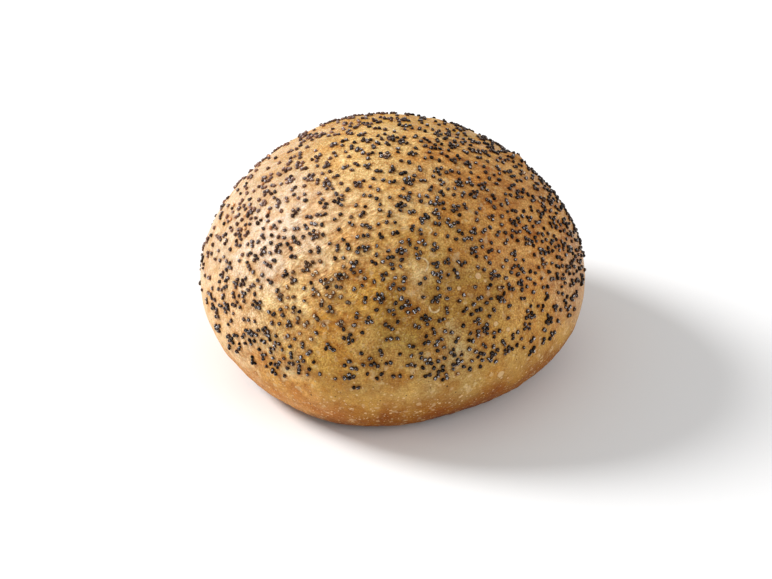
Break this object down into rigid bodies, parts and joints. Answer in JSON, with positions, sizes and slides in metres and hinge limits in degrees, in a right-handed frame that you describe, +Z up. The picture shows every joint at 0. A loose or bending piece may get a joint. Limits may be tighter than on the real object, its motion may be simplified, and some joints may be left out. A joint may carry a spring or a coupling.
{
  "type": "bread roll",
  "caption": "Round domed bread roll with a golden brown crust and poppy seeds scattered over the top, standing on a flat base.",
  "frame": {"origin": "middle of the flat base, under the crown of the dome", "axes": "+Z up from the base to the crown; -Y is the front side, +X is to the right seen from the front"},
  "size_m": [0.097, 0.0972, 0.059],
  "materials": {
    "crust": "baked bread crust, golden brown and paler on one flank, satin",
    "poppy_seed": "ripe poppy seed, slate grey to black, netted and satin",
    "pale_seed": "unripe poppy seed, pale brown, netted and satin"
  },
  "bodies": {
    "root": {"roll": "crust"}
  },
  "joints": []
}
